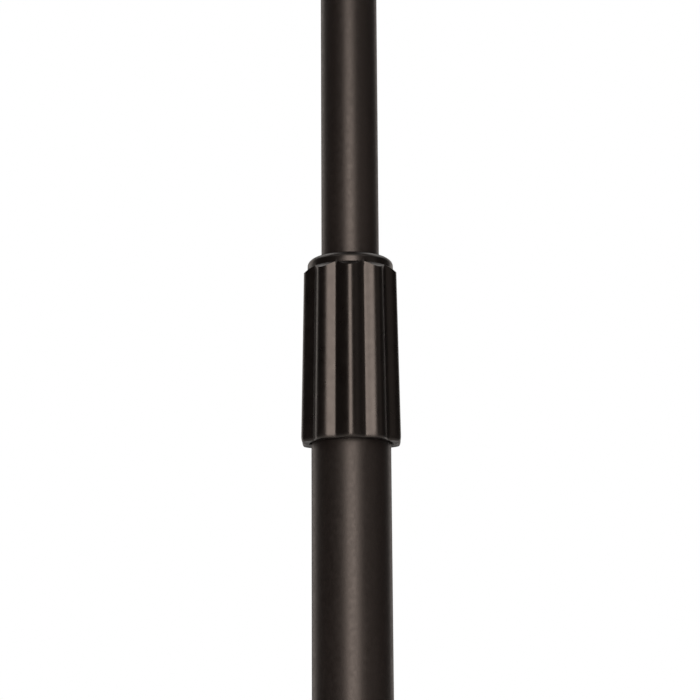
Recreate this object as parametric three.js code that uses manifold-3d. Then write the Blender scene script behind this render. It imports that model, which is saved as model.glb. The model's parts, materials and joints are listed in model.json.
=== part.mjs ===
// Tripod music stand: a telescoping shaft with a ribbed twist clutch, a folding tripod
// and a tilting desk. Millimetres, +Z up, the desk faces -Y.
import * as THREE from 'three';
import { mergeVertices } from 'three/addons/utils/BufferGeometryUtils.js';
import Module from 'manifold-3d';

const wasm = await Module();
wasm.setup();

// Driving dimensions

const gap = 0.3;                 // between touching pieces
const pinFit = 0.3;              // radial, pins and screws in their holes

const lowerTube = { radius: 11, wall: 1.5, bottom: 22, top: 686 };
const upperTube = { radius: 8.1, wall: 1.2, bottom: 400, top: 1030 };

const sleeve = {
  bottom: 672, height: 52.4, skirtRadius: 12.75, collarRadius: 11.95, lipRadius: 9.6, mouthRadius: 8.6,
  boreRadius: 11.4, boreTop: 33, coneRadius: 9.9, coneTop: 46.7, shoulderTop: 49.5,
  collarBottom: 49.2, domeStart: 50.5, ridges: 10, ridgeRadius: 3, ridgeBottom: 0.6, ridgeTop: 47.85,
  crestBottom: 14.25, crestTop: 13.3,
};

const legCount = 3;
const firstLegAzimuth = -90;     // degrees, one leg points to the player
const legSpread = 62;            // degrees from the shaft when open
const linkLength = 150;          // leg pivot to brace rivet, and brace pin to brace rivet
const pivotRadius = 26;          // leg and brace pivots from the shaft's axis
const bracePinHeight = 32;
const footCentreHeight = 13;
const leg = { radius: 8, wall: 1.2, tongue: 4, knuckleRadius: 6, tubeStart: 18 };
const strap = { width: 14, thickness: 2, inner: 8.3 };
const pinRadius = 3;

const hub = { inner: 13.2, outer: 17.5, up: 14, down: 16 };
const deskTilt = 20;             // degrees back from upright
const pivotHeight = 1062;
const panel = {
  width: 490, below: 150, above: 185, corner: 22, thickness: 1.2, back: -28, flange: 8,
};
const ledge = { width: 470, depth: 55, lip: 14, flange: 18 };
const bracket = { halfWidth: 28, halfHeight: 34, thickness: 2.5, earInner: 8.1, eyeRadius: 11 };
const rivetRadius = 2;
const bracketRivetX = 21;
const bracketRivetZ = 26;
const ledgeRivetSpacing = 200;

const ferruleTop = sleeve.bottom + 32;
const radians = THREE.MathUtils.degToRad;
const hubHeight = bracePinHeight + 2 * linkLength * Math.cos(radians(legSpread));
const legLength = (hubHeight - footCentreHeight) / Math.cos(radians(legSpread));

// Materials

function finish(color, roughness, metalness) {
  return new THREE.MeshStandardMaterial({ color, roughness, metalness });
}
const coatedSteel = finish(0x2a2422, 0.5, 0.3);
const clutchPlastic = finish(0x211c1b, 0.35, 0);
const blackNylon = finish(0x1b1a1a, 0.6, 0);
const rubber = finish(0x161515, 0.9, 0);
const zincSteel = finish(0x8d8f92, 0.35, 1);
const brass = finish(0xb08d4a, 0.35, 1);

// Shape helpers

function signedVolume(geometry) {
  const point = geometry.attributes.position;
  const corner = [0, 1, 2].map(() => new THREE.Vector3());
  let sum = 0;
  for (let i = 0; i < geometry.index.count; i += 3) {
    corner.forEach((c, k) => c.fromBufferAttribute(point, geometry.index.getX(i + k)));
    sum += corner[0].dot(corner[1].clone().cross(corner[2]));
  }
  return sum / 6;
}

// A closed surface as a solid with its faces pointing out.
function solid(geometry) {
  const bare = geometry.clone();
  bare.deleteAttribute('normal');
  bare.deleteAttribute('uv');
  const merged = mergeVertices(bare, 1e-4);
  const triVerts = Uint32Array.from(merged.index.array);
  if (signedVolume(merged) < 0) {
    for (let i = 0; i < triVerts.length; i += 3) {
      [triVerts[i], triVerts[i + 1]] = [triVerts[i + 1], triVerts[i]];
    }
  }
  const vertProperties = Float32Array.from(merged.attributes.position.array);
  return new wasm.Manifold(new wasm.Mesh({ numProp: 3, vertProperties, triVerts }));
}

function surface(body) {
  const mesh = body.getMesh();
  const geometry = new THREE.BufferGeometry();
  geometry.setAttribute('position', new THREE.BufferAttribute(mesh.vertProperties, 3));
  geometry.setIndex(new THREE.BufferAttribute(mesh.triVerts, 1));
  geometry.computeVertexNormals();
  return geometry;
}

function join(...shapes) {
  return surface(shapes.map(solid).reduce((whole, next) => whole.add(next)));
}

function cut(shape, ...tools) {
  return surface(tools.map(solid).reduce((whole, next) => whole.subtract(next), solid(shape)));
}

// A turned piece about Z; points are [radius, z] pairs.
function turned(points, segments = 24) {
  const profile = points.map(([r, z]) => new THREE.Vector2(r, z));
  return new THREE.LatheGeometry(profile, segments).rotateX(Math.PI / 2);
}

function tube(inner, outer, low, high, segments = 24) {
  return turned([[inner, low], [outer, low], [outer, high], [inner, high], [inner, low]], segments);
}

function rod(radius, low, high, segments = 16) {
  return turned([[0, low], [radius, low], [radius, high], [0, high]], segments);
}

function block(x0, x1, y0, y1, z0, z1) {
  const box = new THREE.BoxGeometry(x1 - x0, y1 - y0, z1 - z0);
  return box.translate((x0 + x1) / 2, (y0 + y1) / 2, (z0 + z1) / 2);
}

function extruded(shape, depth) {
  return new THREE.ExtrudeGeometry(shape, { depth, bevelEnabled: false, curveSegments: 6 });
}

// Outline in X and Z, thickness from y0 to y1.
function plateAcrossY(shape, y0, y1) {
  return extruded(shape, y1 - y0).rotateX(Math.PI / 2).translate(0, y1, 0);
}

// Outline in Y and Z, thickness from x0 to x1.
function plateAcrossX(shape, x0, x1) {
  const turn = new THREE.Matrix4().makeBasis(
    new THREE.Vector3(0, 1, 0), new THREE.Vector3(0, 0, 1), new THREE.Vector3(1, 0, 0));
  return extruded(shape, x1 - x0).applyMatrix4(turn).translate(x0, 0, 0);
}

// A tongue that runs from rootX to a round eye at eyeX.
function lugShape(rootX, rootHalf, eyeX, eyeRadius) {
  const side = Math.sign(eyeX - rootX);
  const shape = new THREE.Shape();
  shape.moveTo(rootX, -side * rootHalf);
  shape.lineTo(eyeX, -side * eyeRadius);
  shape.absarc(eyeX, 0, eyeRadius, -side * Math.PI / 2, side * Math.PI / 2);
  shape.lineTo(rootX, side * rootHalf);
  shape.closePath();
  return shape;
}

function roundedPanel(width, low, high, corner) {
  const w = width / 2;
  const shape = new THREE.Shape();
  shape.moveTo(-w + corner, low);
  shape.lineTo(w - corner, low);
  shape.absarc(w - corner, low + corner, corner, -Math.PI / 2, 0);
  shape.lineTo(w, high - corner);
  shape.absarc(w - corner, high - corner, corner, 0, Math.PI / 2);
  shape.lineTo(-w + corner, high);
  shape.absarc(-w + corner, high - corner, corner, Math.PI / 2, Math.PI);
  shape.lineTo(-w, low + corner);
  shape.absarc(-w + corner, low + corner, corner, Math.PI, 1.5 * Math.PI);
  return shape;
}

// A hand knob's outline: a circle with shallow round lobes.
function lobedShape(radius, lobes, depth) {
  const steps = lobes * 8;
  const points = [];
  for (let i = 0; i < steps; i += 1) {
    const angle = 2 * Math.PI * i / steps;
    const r = radius - depth * (1 - Math.cos(lobes * angle)) / 2;
    points.push(new THREE.Vector2(r * Math.cos(angle), r * Math.sin(angle)));
  }
  return new THREE.Shape(points);
}

// A pin along Y with a low head at each end.
function headedPin(radius, headRadius, halfGrip, headHeight) {
  const top = halfGrip + headHeight;
  const crown = headRadius * 0.6;
  const profile = [
    [0, -top], [crown, -top], [headRadius, -halfGrip], [radius, -halfGrip],
    [radius, halfGrip], [headRadius, halfGrip], [crown, top], [0, top],
  ];
  return turned(profile, 12).rotateX(Math.PI / 2);
}

function add(group, name, geometry, material) {
  const mesh = new THREE.Mesh(geometry, material);
  mesh.name = name;
  group.add(mesh);
}

// Shaft and clutch

function clutchSleeve() {
  const s = sleeve;
  const domeHeight = s.height - s.domeStart;
  const dome = [];
  const domeSteps = 4;
  for (let i = 1; i < domeSteps; i += 1) {
    const angle = Math.PI / 2 * i / domeSteps;
    const radius = s.lipRadius + (s.collarRadius - s.lipRadius) * Math.cos(angle);
    dome.push([radius, s.domeStart + domeHeight * Math.sin(angle)]);
  }
  const shell = turned([
    [s.boreRadius, 0], [s.skirtRadius - 0.5, 0], [s.skirtRadius, 0.6], [s.collarRadius, s.collarBottom],
    [s.collarRadius, s.domeStart], ...dome, [s.lipRadius, s.height], [s.mouthRadius, s.height],
    [s.mouthRadius, s.shoulderTop], [s.coneRadius, s.shoulderTop], [s.coneRadius, s.coneTop],
    [s.boreRadius, s.boreTop], [s.boreRadius, 0],
  ], 36);
  const ridgeLength = s.ridgeTop - s.ridgeBottom;
  const lean = Math.atan((s.crestBottom - s.crestTop) / ridgeLength);
  const tip = s.collarBottom - s.ridgeTop;
  const bore = turned([
    [0, -1], [s.boreRadius, -1], [s.boreRadius, s.boreTop], [s.coneRadius, s.coneTop],
    [s.coneRadius, s.shoulderTop], [0, s.shoulderTop]], 36);
  let whole = solid(shell);
  for (let i = 0; i < s.ridges; i += 1) {
    const ridge = turned([
      [0, 0], [s.ridgeRadius, 0], [s.ridgeRadius, ridgeLength],
      [s.ridgeRadius - 0.9, ridgeLength + tip], [0, ridgeLength + tip],
    ], 12);
    ridge.rotateY(-lean).translate(s.crestBottom - s.ridgeRadius, 0, s.ridgeBottom);
    ridge.rotateZ(-Math.PI / 2 + 2 * Math.PI * i / s.ridges);
    whole = whole.add(solid(ridge).subtract(solid(bore)));
  }
  return surface(whole).translate(0, 0, s.bottom);
}

function clutchFerrule() {
  const top = ferruleTop;
  const insideTube = lowerTube.radius - lowerTube.wall - gap;
  const bore = upperTube.radius + gap;
  const thread = sleeve.boreRadius - gap;
  const seat = lowerTube.top + gap;
  return turned([
    [bore, lowerTube.top - 20], [insideTube, lowerTube.top - 20], [insideTube, seat],
    [thread, seat], [thread, top], [bore, top], [bore, lowerTube.top - 20]]);
}

function clutchCollet() {
  const low = ferruleTop + gap;
  const high = sleeve.bottom + sleeve.coneTop - 0.6;
  const bore = upperTube.radius + gap;
  const ring = turned([
    [bore, low], [sleeve.boreRadius - 0.5, low], [sleeve.coneRadius - gap, high], [bore, high], [bore, low]]);
  return cut(ring, block(0, 20, -1, 1, low - 1, high + 1));
}

function addShaft(stand) {
  const t = lowerTube;
  const inner = t.radius - t.wall;
  add(stand, 'lower_tube', tube(inner, t.radius, t.bottom, t.top), coatedSteel);
  add(stand, 'lower_tube_cap', join(
    rod(inner - gap, t.bottom - 1, t.bottom + 14, 24),
    rod(t.radius, t.bottom - 4, t.bottom - gap, 24)), blackNylon);
  add(stand, 'clutch_ferrule', clutchFerrule(), brass);
  add(stand, 'clutch_collet', clutchCollet(), blackNylon);
  add(stand, 'clutch_sleeve', clutchSleeve(), clutchPlastic);
  add(stand, 'clutch_washer', tube(
    upperTube.radius + gap, sleeve.coneRadius - gap, sleeve.bottom + sleeve.coneTop - 0.2,
    sleeve.bottom + sleeve.shoulderTop - gap), zincSteel);
  add(stand, 'foot_bush', turned([
    [3, upperTube.bottom - 6], [inner - gap, upperTube.bottom - 6],
    [inner - gap, upperTube.bottom + 30], [upperTube.radius + gap, upperTube.bottom + 30],
    [upperTube.radius + gap, upperTube.bottom - gap], [3, upperTube.bottom - gap],
    [3, upperTube.bottom - 6]]), blackNylon);
  const u = upperTube;
  add(stand, 'upper_tube', tube(u.radius - u.wall, u.radius, u.bottom, u.top), coatedSteel);
}

// Tripod

function braceCollar() {
  const low = lowerTube.bottom;
  const ring = tube(lowerTube.radius + gap, 16, low, low + 20);
  const lugs = legAzimuths().map((azimuth) => {
    const lug = plateAcrossY(lugShape(14, 9, pivotRadius, 6), -leg.radius, leg.radius);
    return lug.translate(0, 0, bracePinHeight).rotateZ(azimuth);
  });
  const holes = legAzimuths().map((azimuth) => pinHole(bracePinHeight).rotateZ(azimuth));
  const bore = rod(lowerTube.radius + gap, 0, 100, 24);
  return cut(join(ring, ...lugs), ...holes, bore);
}

function legHub() {
  const ring = tube(hub.inner, hub.outer, hubHeight - hub.down, hubHeight + hub.up);
  const ears = legAzimuths().map((azimuth) => {
    const ear = lugShape(15, 11, pivotRadius, 6.5);
    return plateAcrossY(ear, -8.3, 8.3).translate(0, 0, hubHeight).rotateZ(azimuth);
  });
  const slots = legAzimuths().map((azimuth) => {
    const half = leg.tongue + gap;
    return block(hub.outer, 40, -half, half, hubHeight - 20, hubHeight + 20).rotateZ(azimuth);
  });
  const holes = legAzimuths().map((azimuth) => pinHole(hubHeight).rotateZ(azimuth));
  const boss = rod(6.5, 15, 24).rotateX(-Math.PI / 2).translate(0, 0, hubHeight);
  const studHole = rod(2.5 + pinFit, 5, 40).rotateX(-Math.PI / 2).translate(0, 0, hubHeight);
  const bore = rod(hub.inner, hubHeight - 40, hubHeight + 40, 24);
  return cut(join(ring, ...ears, boss), ...slots, ...holes, studHole, bore);
}

function pinHole(height) {
  return rod(pinRadius + pinFit, -30, 30).rotateX(Math.PI / 2).translate(pivotRadius, 0, height);
}

function legAzimuths() {
  return Array.from({ length: legCount }, (_, i) => radians(firstLegAzimuth + 360 * i / legCount));
}

function addHub(stand) {
  add(stand, 'brace_collar', braceCollar(), blackNylon);
  add(stand, 'leg_hub', legHub(), blackNylon);
  const lining = tube(
    lowerTube.radius + gap, hub.inner - gap, hubHeight - hub.down + 1, hubHeight + hub.up - 1);
  const studHole = rod(2.5 + pinFit, 5, 40).rotateX(-Math.PI / 2).translate(0, 0, hubHeight);
  add(stand, 'hub_lining', cut(lining, studHole), blackNylon);
  const stud = rod(2.5, lowerTube.radius + gap, 34, 16);
  add(stand, 'hub_knob_stud', stud.rotateX(-Math.PI / 2).translate(0, 0, hubHeight), zincSteel);
  const knob = cut(
    extruded(lobedShape(12, 5, 2.4), 13).translate(0, 0, 26), rod(2.5 + gap, 20, 34 + gap, 16));
  add(stand, 'hub_knob', knob.rotateX(-Math.PI / 2).translate(0, 0, hubHeight), blackNylon);
}

function legKnuckle() {
  const outline = lugShape(0, leg.knuckleRadius, 1, leg.knuckleRadius);
  const eye = plateAcrossY(outline, -leg.tongue, leg.tongue);
  const neck = block(
    -leg.knuckleRadius, leg.knuckleRadius, -leg.tongue, leg.tongue, -leg.tubeStart + gap, 0);
  const collar = rod(leg.radius, -leg.tubeStart + gap, -leg.tubeStart + 3, 24);
  const plug = rod(leg.radius - leg.wall - gap, -leg.tubeStart - 20, -leg.tubeStart + 1, 24);
  const hole = rod(pinRadius + pinFit, -10, 10).rotateX(Math.PI / 2);
  const roundEye = rod(leg.knuckleRadius, -leg.tongue, leg.tongue).rotateX(Math.PI / 2);
  return cut(join(roundEye, neck, collar, plug), hole);
}

function legFoot() {
  const slopeBack = radians(legSpread);
  const socket = rod(10.5, -legLength - 2, -legLength + 30);
  const pad = rod(14, -footCentreHeight, -1).rotateY(slopeBack).translate(0, 0, -legLength);
  const bore = rod(leg.radius + gap, -legLength + 10, -legLength + 40, 24);
  return cut(join(socket, pad), bore);
}

function braceStrap(side) {
  const shape = new THREE.Shape();
  const half = strap.width / 2;
  shape.absarc(0, 0, half, Math.PI, 2 * Math.PI);
  shape.absarc(0, linkLength, half, 0, Math.PI);
  const hole = new THREE.Path();
  hole.absarc(0, 0, pinRadius + pinFit, 0, 2 * Math.PI);
  shape.holes.push(hole);
  const flat = plateAcrossY(shape, strap.inner, strap.inner + strap.thickness);
  const outside = strap.inner + strap.thickness;
  const head = turned([[0, -1], [5, -1], [5, 0.8], [3, 2.2], [0, 2.2]], 16);
  head.rotateX(-Math.PI / 2).translate(0, outside, linkLength);
  const whole = join(flat, head);
  return side > 0 ? whole : whole.rotateZ(Math.PI);
}

function addLeg(stand, azimuth, number) {
  const spoke = new THREE.Group();
  spoke.rotation.z = azimuth;
  stand.add(spoke);
  const spread = radians(legSpread);

  const swing = new THREE.Group();
  swing.position.set(pivotRadius, 0, hubHeight);
  swing.rotation.y = -spread;
  spoke.add(swing);
  add(swing, `leg_knuckle_${number}`, legKnuckle(), blackNylon);
  add(swing, `leg_tube_${number}`, tube(
    leg.radius - leg.wall, leg.radius, -legLength + 10 + gap, -leg.tubeStart, 24), coatedSteel);
  add(swing, `leg_foot_${number}`, legFoot(), rubber);

  const brace = new THREE.Group();
  brace.position.set(pivotRadius, 0, bracePinHeight);
  brace.rotation.y = spread;
  spoke.add(brace);
  add(brace, `brace_strap_${number}_left`, braceStrap(1), coatedSteel);
  add(brace, `brace_strap_${number}_right`, braceStrap(-1), coatedSteel);

  const legPin = headedPin(pinRadius, 5, 8.3 + gap, 1.8);
  add(spoke, `leg_pin_${number}`, legPin.translate(pivotRadius, 0, hubHeight), zincSteel);
  const bracePin = headedPin(pinRadius, 5, strap.inner + strap.thickness + gap, 1.8);
  add(spoke, `brace_pin_${number}`, bracePin.translate(pivotRadius, 0, bracePinHeight), zincSteel);
}

// Head and desk

function neckFitting() {
  const cupOuter = 11.5;
  const cup = turned([
    [0, 1002], [cupOuter - 1, 1002], [cupOuter, 1003], [cupOuter, 1038], [8, 1045], [0, 1045]]);
  const tongue = plateAcrossX(lugShape(-1, 0.1, 0, bracket.eyeRadius), -6, 6);
  const stalk = block(-6, 6, -8, 8, 1040, pivotHeight);
  const bore = rod(upperTube.radius + gap, 1000, upperTube.top + gap, 24);
  const boltHole = rod(pinRadius + pinFit, -20, 20).rotateY(Math.PI / 2);
  const eye = rod(bracket.eyeRadius, -6, 6).rotateY(Math.PI / 2).translate(0, 0, pivotHeight);
  const screwHole = rod(2 + pinFit, 5, 20, 16).rotateX(-Math.PI / 2).translate(0, 0, 1014);
  return cut(join(cup, stalk, eye), bore, boltHole.translate(0, 0, pivotHeight), screwHole);
}

function addNeck(stand) {
  add(stand, 'neck_fitting', neckFitting(), blackNylon);
  const screw = turned([[0, 8.6], [2, 8.6], [2, 11.9], [3.6, 11.9], [3.2, 13.6], [0, 13.9]], 16);
  add(stand, 'neck_screw', screw.rotateX(-Math.PI / 2).translate(0, 0, 1014), zincSteel);
  for (const [name, side] of [['left', -1], ['right', 1]]) {
    const washer = tube(pinRadius + pinFit, 10, 6 + gap, bracket.earInner - gap, 24);
    washer.rotateY(side * Math.PI / 2).translate(0, 0, pivotHeight);
    add(stand, `tilt_washer_${name}`, washer, blackNylon);
  }
}

function deskPanel() {
  const p = panel;
  const front = p.back - p.thickness;
  const outer = roundedPanel(p.width, -p.below, p.above, p.corner);
  const t = p.thickness;
  const inner = roundedPanel(p.width - 2 * t, -p.below + t, p.above - t, p.corner - t);
  return cut(
    plateAcrossY(outer, front, p.back + p.flange),
    plateAcrossY(inner, p.back, p.back + p.flange + 5),
    ...bracketRivetPlaces().map(([x, z]) => rivetHole(x, z)),
    ...ledgeRivetPlaces().map(([x, z]) => rivetHole(x, z)));
}

function rivetHole(x, z) {
  return rod(rivetRadius + pinFit, 10, 50, 16).rotateX(Math.PI / 2).translate(x, 0, z);
}

function bracketRivetPlaces() {
  return [-1, 1].flatMap((sx) => [-1, 1].map((sz) => [sx * bracketRivetX, sz * bracketRivetZ]));
}

function ledgeRivetPlaces() {
  return [-1, 0, 1].map((i) => [i * ledgeRivetSpacing, -panel.below + ledge.flange / 2 + 2]);
}

function deskLedge() {
  const t = panel.thickness;
  const back = panel.back - t - gap;
  const floor = -panel.below;
  const shape = new THREE.Shape();
  shape.moveTo(back, floor - t);
  shape.lineTo(back, floor + ledge.flange);
  shape.lineTo(back - t, floor + ledge.flange);
  shape.lineTo(back - t, floor);
  shape.lineTo(back - ledge.depth, floor);
  shape.lineTo(back - ledge.depth, floor + ledge.lip);
  shape.lineTo(back - ledge.depth - t, floor + ledge.lip);
  shape.lineTo(back - ledge.depth - t, floor - t);
  shape.closePath();
  return cut(
    plateAcrossX(shape, -ledge.width / 2, ledge.width / 2),
    ...ledgeRivetPlaces().map(([x, z]) => rivetHole(x, z)));
}

function tiltBracket() {
  const b = bracket;
  const back = panel.back + gap;
  const plate = plateAcrossY(
    roundedPanel(2 * b.halfWidth, -b.halfHeight, b.halfHeight, 6), back, back + b.thickness);
  const ears = [-1, 1].map((side) => {
    const ear = lugShape(back + 1, 17, 0, b.eyeRadius);
    const inner = side > 0 ? b.earInner : -b.earInner - b.thickness;
    return plateAcrossX(ear, inner, inner + b.thickness);
  });
  const boltHole = rod(pinRadius + pinFit, -20, 20).rotateY(Math.PI / 2);
  const rivetHoles = bracketRivetPlaces().map(([x, z]) => rivetHole(x, z));
  return cut(join(plate, ...ears), boltHole, ...rivetHoles);
}

// A rivet along Y between two faces, with a head outside each.
function rivet(frontFace, backFace) {
  const middle = (frontFace + backFace) / 2;
  const halfGrip = (backFace - frontFace) / 2 + gap;
  return headedPin(rivetRadius, 3.6, halfGrip, 1.2).translate(0, middle, 0);
}

function addDesk(stand) {
  const desk = new THREE.Group();
  desk.position.set(0, 0, pivotHeight);
  desk.rotation.x = -radians(deskTilt);
  stand.add(desk);
  add(desk, 'desk_panel', deskPanel(), coatedSteel);
  add(desk, 'desk_ledge', deskLedge(), coatedSteel);
  add(desk, 'tilt_bracket', tiltBracket(), coatedSteel);

  const panelFront = panel.back - panel.thickness;
  const bracketBack = panel.back + gap + bracket.thickness;
  bracketRivetPlaces().forEach(([x, z], i) => {
    add(desk, `bracket_rivet_${i + 1}`, rivet(panelFront, bracketBack).translate(x, 0, z), zincSteel);
  });
  const ledgeFront = panelFront - gap - panel.thickness;
  ledgeRivetPlaces().forEach(([x, z], i) => {
    add(desk, `ledge_rivet_${i + 1}`, rivet(ledgeFront, panel.back).translate(x, 0, z), zincSteel);
  });

  const earOuter = bracket.earInner + bracket.thickness;
  const bolt = join(
    rod(pinRadius, -earOuter - 1, 30, 20), rod(5.8, -earOuter - gap - 4, -earOuter - gap, 6));
  add(desk, 'tilt_bolt', bolt.rotateY(Math.PI / 2), zincSteel);
  const insert = tube(pinRadius + pinFit, 6, earOuter + gap, earOuter + 20, 24);
  add(desk, 'tilt_knob_insert', insert.rotateY(Math.PI / 2), brass);
  const knob = cut(
    extruded(lobedShape(18, 6, 3), 16).translate(0, 0, earOuter + 5),
    rod(6 + gap, earOuter, earOuter + 20 + gap, 24));
  add(desk, 'tilt_knob', knob.rotateY(Math.PI / 2), blackNylon);
}

const model = new THREE.Group();
const stand = new THREE.Group();
model.add(stand);
addShaft(stand);
addHub(stand);
legAzimuths().forEach((azimuth, i) => addLeg(stand, azimuth, i + 1));
addNeck(stand);
addDesk(stand);

// The origin is on the floor, in the middle of the whole stand's box.
model.updateMatrixWorld(true);
const box = new THREE.Box3().setFromObject(model, true);
stand.position.set(-(box.min.x + box.max.x) / 2, -(box.min.y + box.max.y) / 2, -box.min.z);

export default model;
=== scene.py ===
# %% [markdown]
# # A music stand, made part by part
#
# The stand is a folding tripod, a two-part steel shaft with a ribbed twist clutch, and a tilting
# sheet-metal desk. The frame that is loaded first fixes where every part sits and how it moves.
# Each cell below then takes one part and gives it the surface that a maker would give it.

# %% The frame
import json
import math

import bpy
from mathutils import Matrix, Vector


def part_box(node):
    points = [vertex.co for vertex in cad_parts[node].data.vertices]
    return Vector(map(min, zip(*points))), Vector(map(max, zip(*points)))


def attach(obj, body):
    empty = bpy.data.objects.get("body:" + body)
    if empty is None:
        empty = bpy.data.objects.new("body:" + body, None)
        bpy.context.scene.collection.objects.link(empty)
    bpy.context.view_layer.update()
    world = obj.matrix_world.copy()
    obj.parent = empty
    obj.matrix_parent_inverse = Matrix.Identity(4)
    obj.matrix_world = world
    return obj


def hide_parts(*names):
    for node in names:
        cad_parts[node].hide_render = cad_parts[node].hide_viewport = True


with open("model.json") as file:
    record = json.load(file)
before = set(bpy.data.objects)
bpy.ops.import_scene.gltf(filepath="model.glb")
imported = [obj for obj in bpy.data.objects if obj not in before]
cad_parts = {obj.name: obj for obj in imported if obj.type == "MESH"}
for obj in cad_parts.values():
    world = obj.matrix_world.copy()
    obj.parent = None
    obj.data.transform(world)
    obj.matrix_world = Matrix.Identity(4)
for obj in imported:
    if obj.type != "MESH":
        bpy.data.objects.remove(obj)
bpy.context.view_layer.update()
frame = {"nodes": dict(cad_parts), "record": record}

print("parts in the frame:", len(frame["nodes"]))

# %% [markdown]
# Everything is placed from the frame. The shaft is the stand's spine, so its axis and the
# heights of its joints are read once here, and later cells measure from them. Sizes that only
# matter to the eye, such as an edge's rounding, are given in millimetres.

# %% Places that later cells measure from
MM = 0.001


def centre_of(node):
    low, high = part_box(node)
    return (Vector(low) + Vector(high)) / 2


shaft = centre_of("lower_tube")
shaft_x, shaft_y = shaft.x, shaft.y
joints = {joint["name"]: joint for joint in frame["record"]["behaviour"]["joints"]}
leg_spokes = [math.radians(angle) for angle in (-90, 30, 150)]
spoke_numbers = range(len(leg_spokes))
leg_spread = math.radians(62)
desk_lean = math.radians(20)
sleeve_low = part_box("clutch_sleeve")[0][2]
sleeve_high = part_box("clutch_sleeve")[1][2]
pivot = Vector(joints["desk_tilt"]["pos_m"])
hub_height = joints["leg_1_fold"]["pos_m"][2]
brace_height = joints["brace_1_fold"]["pos_m"][2]
pivot_radius = shaft_y - joints["leg_1_fold"]["pos_m"][1]
print("clutch sleeve is", round((sleeve_high - sleeve_low) / MM, 1), "mm tall")

# %% [markdown]
# The camera looks at the clutch from a little below, as someone seated would. A long lens keeps
# the tubes nearly parallel. The camera is rolled by a third of a degree, so the shaft leans a
# touch, and the middle of the clutch sits in the middle of the picture.

# %% The camera
camera_data = bpy.data.cameras.new("camera")
camera = bpy.data.objects.new("camera", camera_data)
bpy.context.scene.collection.objects.link(camera)
bpy.context.scene.camera = camera

look_up = math.radians(12.0)
camera_roll = math.radians(-0.35)
camera_distance = 0.481
camera_aside = -0.21 * MM
camera_data.lens = 90.7
camera_data.sensor_width = 36
aim_above_sleeve_foot = 26.6 * MM
aim_height = sleeve_low + aim_above_sleeve_foot
camera_drop = camera_distance * math.tan(look_up)
camera.location = (shaft_x + camera_aside, shaft_y - camera_distance, aim_height - camera_drop)
facing = Matrix.Rotation(math.pi / 2 + look_up, 4, "X") @ Matrix.Rotation(camera_roll, 4, "Z")
camera.rotation_euler = facing.to_euler()
print("camera height:", round(camera.location.z, 3), "m")

# %% [markdown]
# A black thing is seen mostly by what it reflects. A tall soft light in front gives each tube its
# pale band, two weaker ones behind give the thin bright rims, and a faint one at the right lifts
# that side. The rest of the room stays dim so that the black stays black. A wide light overhead
# evens the floor. The backdrop is pure white to the camera but much darker to everything else,
# which the Light Path node allows.

# %% World and lights
scene = bpy.context.scene
scene.view_settings.view_transform = "Standard"
scene.view_settings.look = "None"


def white_world(room_level):
    world = bpy.data.worlds.new("studio")
    world.use_nodes = True
    tree = world.node_tree
    tree.nodes.clear()
    seen = tree.nodes.new("ShaderNodeBackground")
    seen.inputs["Color"].default_value = (1, 1, 1, 1)
    seen.inputs["Strength"].default_value = 1.0
    room = tree.nodes.new("ShaderNodeBackground")
    room.inputs["Color"].default_value = (1, 0.97, 0.94, 1)
    room.inputs["Strength"].default_value = room_level
    path = tree.nodes.new("ShaderNodeLightPath")
    mix = tree.nodes.new("ShaderNodeMixShader")
    out = tree.nodes.new("ShaderNodeOutputWorld")
    tree.links.new(path.outputs["Is Camera Ray"], mix.inputs["Fac"])
    tree.links.new(room.outputs["Background"], mix.inputs[1])
    tree.links.new(seen.outputs["Background"], mix.inputs[2])
    tree.links.new(mix.outputs["Shader"], out.inputs["Surface"])
    return world


def soft_light(name, azimuth, height, distance, width, tall, power, color=(1, 0.92, 0.86)):
    """A rectangular light round the shaft. Azimuth 0 is on the camera's side, 90 at the right."""
    data = bpy.data.lights.new(name, "AREA")
    data.shape = "RECTANGLE"
    data.size, data.size_y = width, tall
    data.energy = power
    data.color = color
    light = bpy.data.objects.new(name, data)
    scene.collection.objects.link(light)
    angle = math.radians(azimuth)
    place = Vector((shaft_x + distance * math.sin(angle), shaft_y - distance * math.cos(angle), height))
    target = Vector((shaft_x, shaft_y, aim_height))
    light.location = place
    light.rotation_euler = (target - place).to_track_quat("-Z", "Y").to_euler()
    light.visible_camera = False
    return light


scene.world = white_world(room_level=0.05)
soft_light("front_softbox", azimuth=1, height=aim_height + 0.2, distance=1.6,
           width=0.85, tall=1.5, power=25)
soft_light("rim_left", azimuth=-138, height=aim_height + 0.25, distance=1.5,
           width=0.9, tall=1.4, power=3.4)
soft_light("rim_right", azimuth=148, height=aim_height + 0.25, distance=1.5,
           width=0.6, tall=1.4, power=2.2)
soft_light("side_right", azimuth=60, height=aim_height + 0.5, distance=1.6,
           width=0.8, tall=1.2, power=0.75)
soft_light("overhead", azimuth=0, height=3.8, distance=0.0,
           width=6.0, tall=6.0, power=150, color=(1, 0.98, 0.96))
print("lights:", len(bpy.data.lights))

# %% [markdown]
# The floor only has to catch the stand's shadow. It is a wide plane a hair under the feet.

# %% The floor
FLOOR_SIZE = 7
FLOOR_GAP = 0.5 * MM


def pale_floor():
    bpy.ops.mesh.primitive_plane_add(size=FLOOR_SIZE, location=(0, 0, -FLOOR_GAP))
    floor = bpy.context.active_object
    floor.name = "floor"
    material = bpy.data.materials.new("floor_pale")
    material.use_nodes = True
    shader = material.node_tree.nodes["Principled BSDF"]
    shader.inputs["Base Color"].default_value = (0.82, 0.82, 0.81, 1)
    shader.inputs["Roughness"].default_value = 0.7
    floor.data.materials.append(material)


pale_floor()
print("floor is", FLOOR_SIZE, "m wide")

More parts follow.
